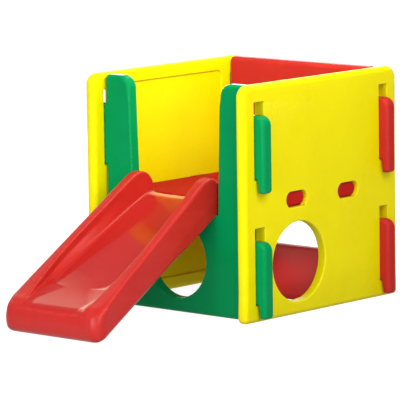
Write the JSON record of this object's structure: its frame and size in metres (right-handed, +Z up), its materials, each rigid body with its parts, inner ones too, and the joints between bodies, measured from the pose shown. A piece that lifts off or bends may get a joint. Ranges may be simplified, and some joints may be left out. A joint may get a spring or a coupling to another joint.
{
  "type": "toddler climbing gym",
  "caption": "Cube-shaped toddler climbing gym of hooked-together moulded plastic walls with round crawl holes, a raised platform and a straight slide hung on its front wall.",
  "frame": {"origin": "on the floor, at the middle of the overall box", "axes": "+Z up; +Y from the slide's foot to the climbing entrance at the back; +X towards the right side wall"},
  "size_m": [0.85, 1.47, 0.85],
  "materials": {
    "yellow_plastic": "satin rotationally moulded polyethylene",
    "green_plastic": "satin rotationally moulded polyethylene",
    "red_plastic": "satin rotationally moulded polyethylene"
  },
  "bodies": {
    "frame": {"left_side_wall": "yellow_plastic", "right_side_wall": "yellow_plastic", "platform": "red_plastic"},
    "front_wall": {"front_wall": "green_plastic"},
    "back_wall": {"back_wall": "red_plastic"},
    "slide": {"slide": "red_plastic"}
  },
  "joints": [
    {"name": "front_wall_lift", "type": "slide", "parent": "frame", "child": "front_wall", "axis": [0, 0, 1], "range_m": [0, 0.047]},
    {"name": "back_wall_lift", "type": "slide", "parent": "frame", "child": "back_wall", "axis": [0, 0, 1], "range_m": [0, 0.047]},
    {"name": "slide_lift", "type": "slide", "parent": "front_wall", "child": "slide", "axis": [0, 0, 1], "range_m": [0, 0.12]}
  ]
}
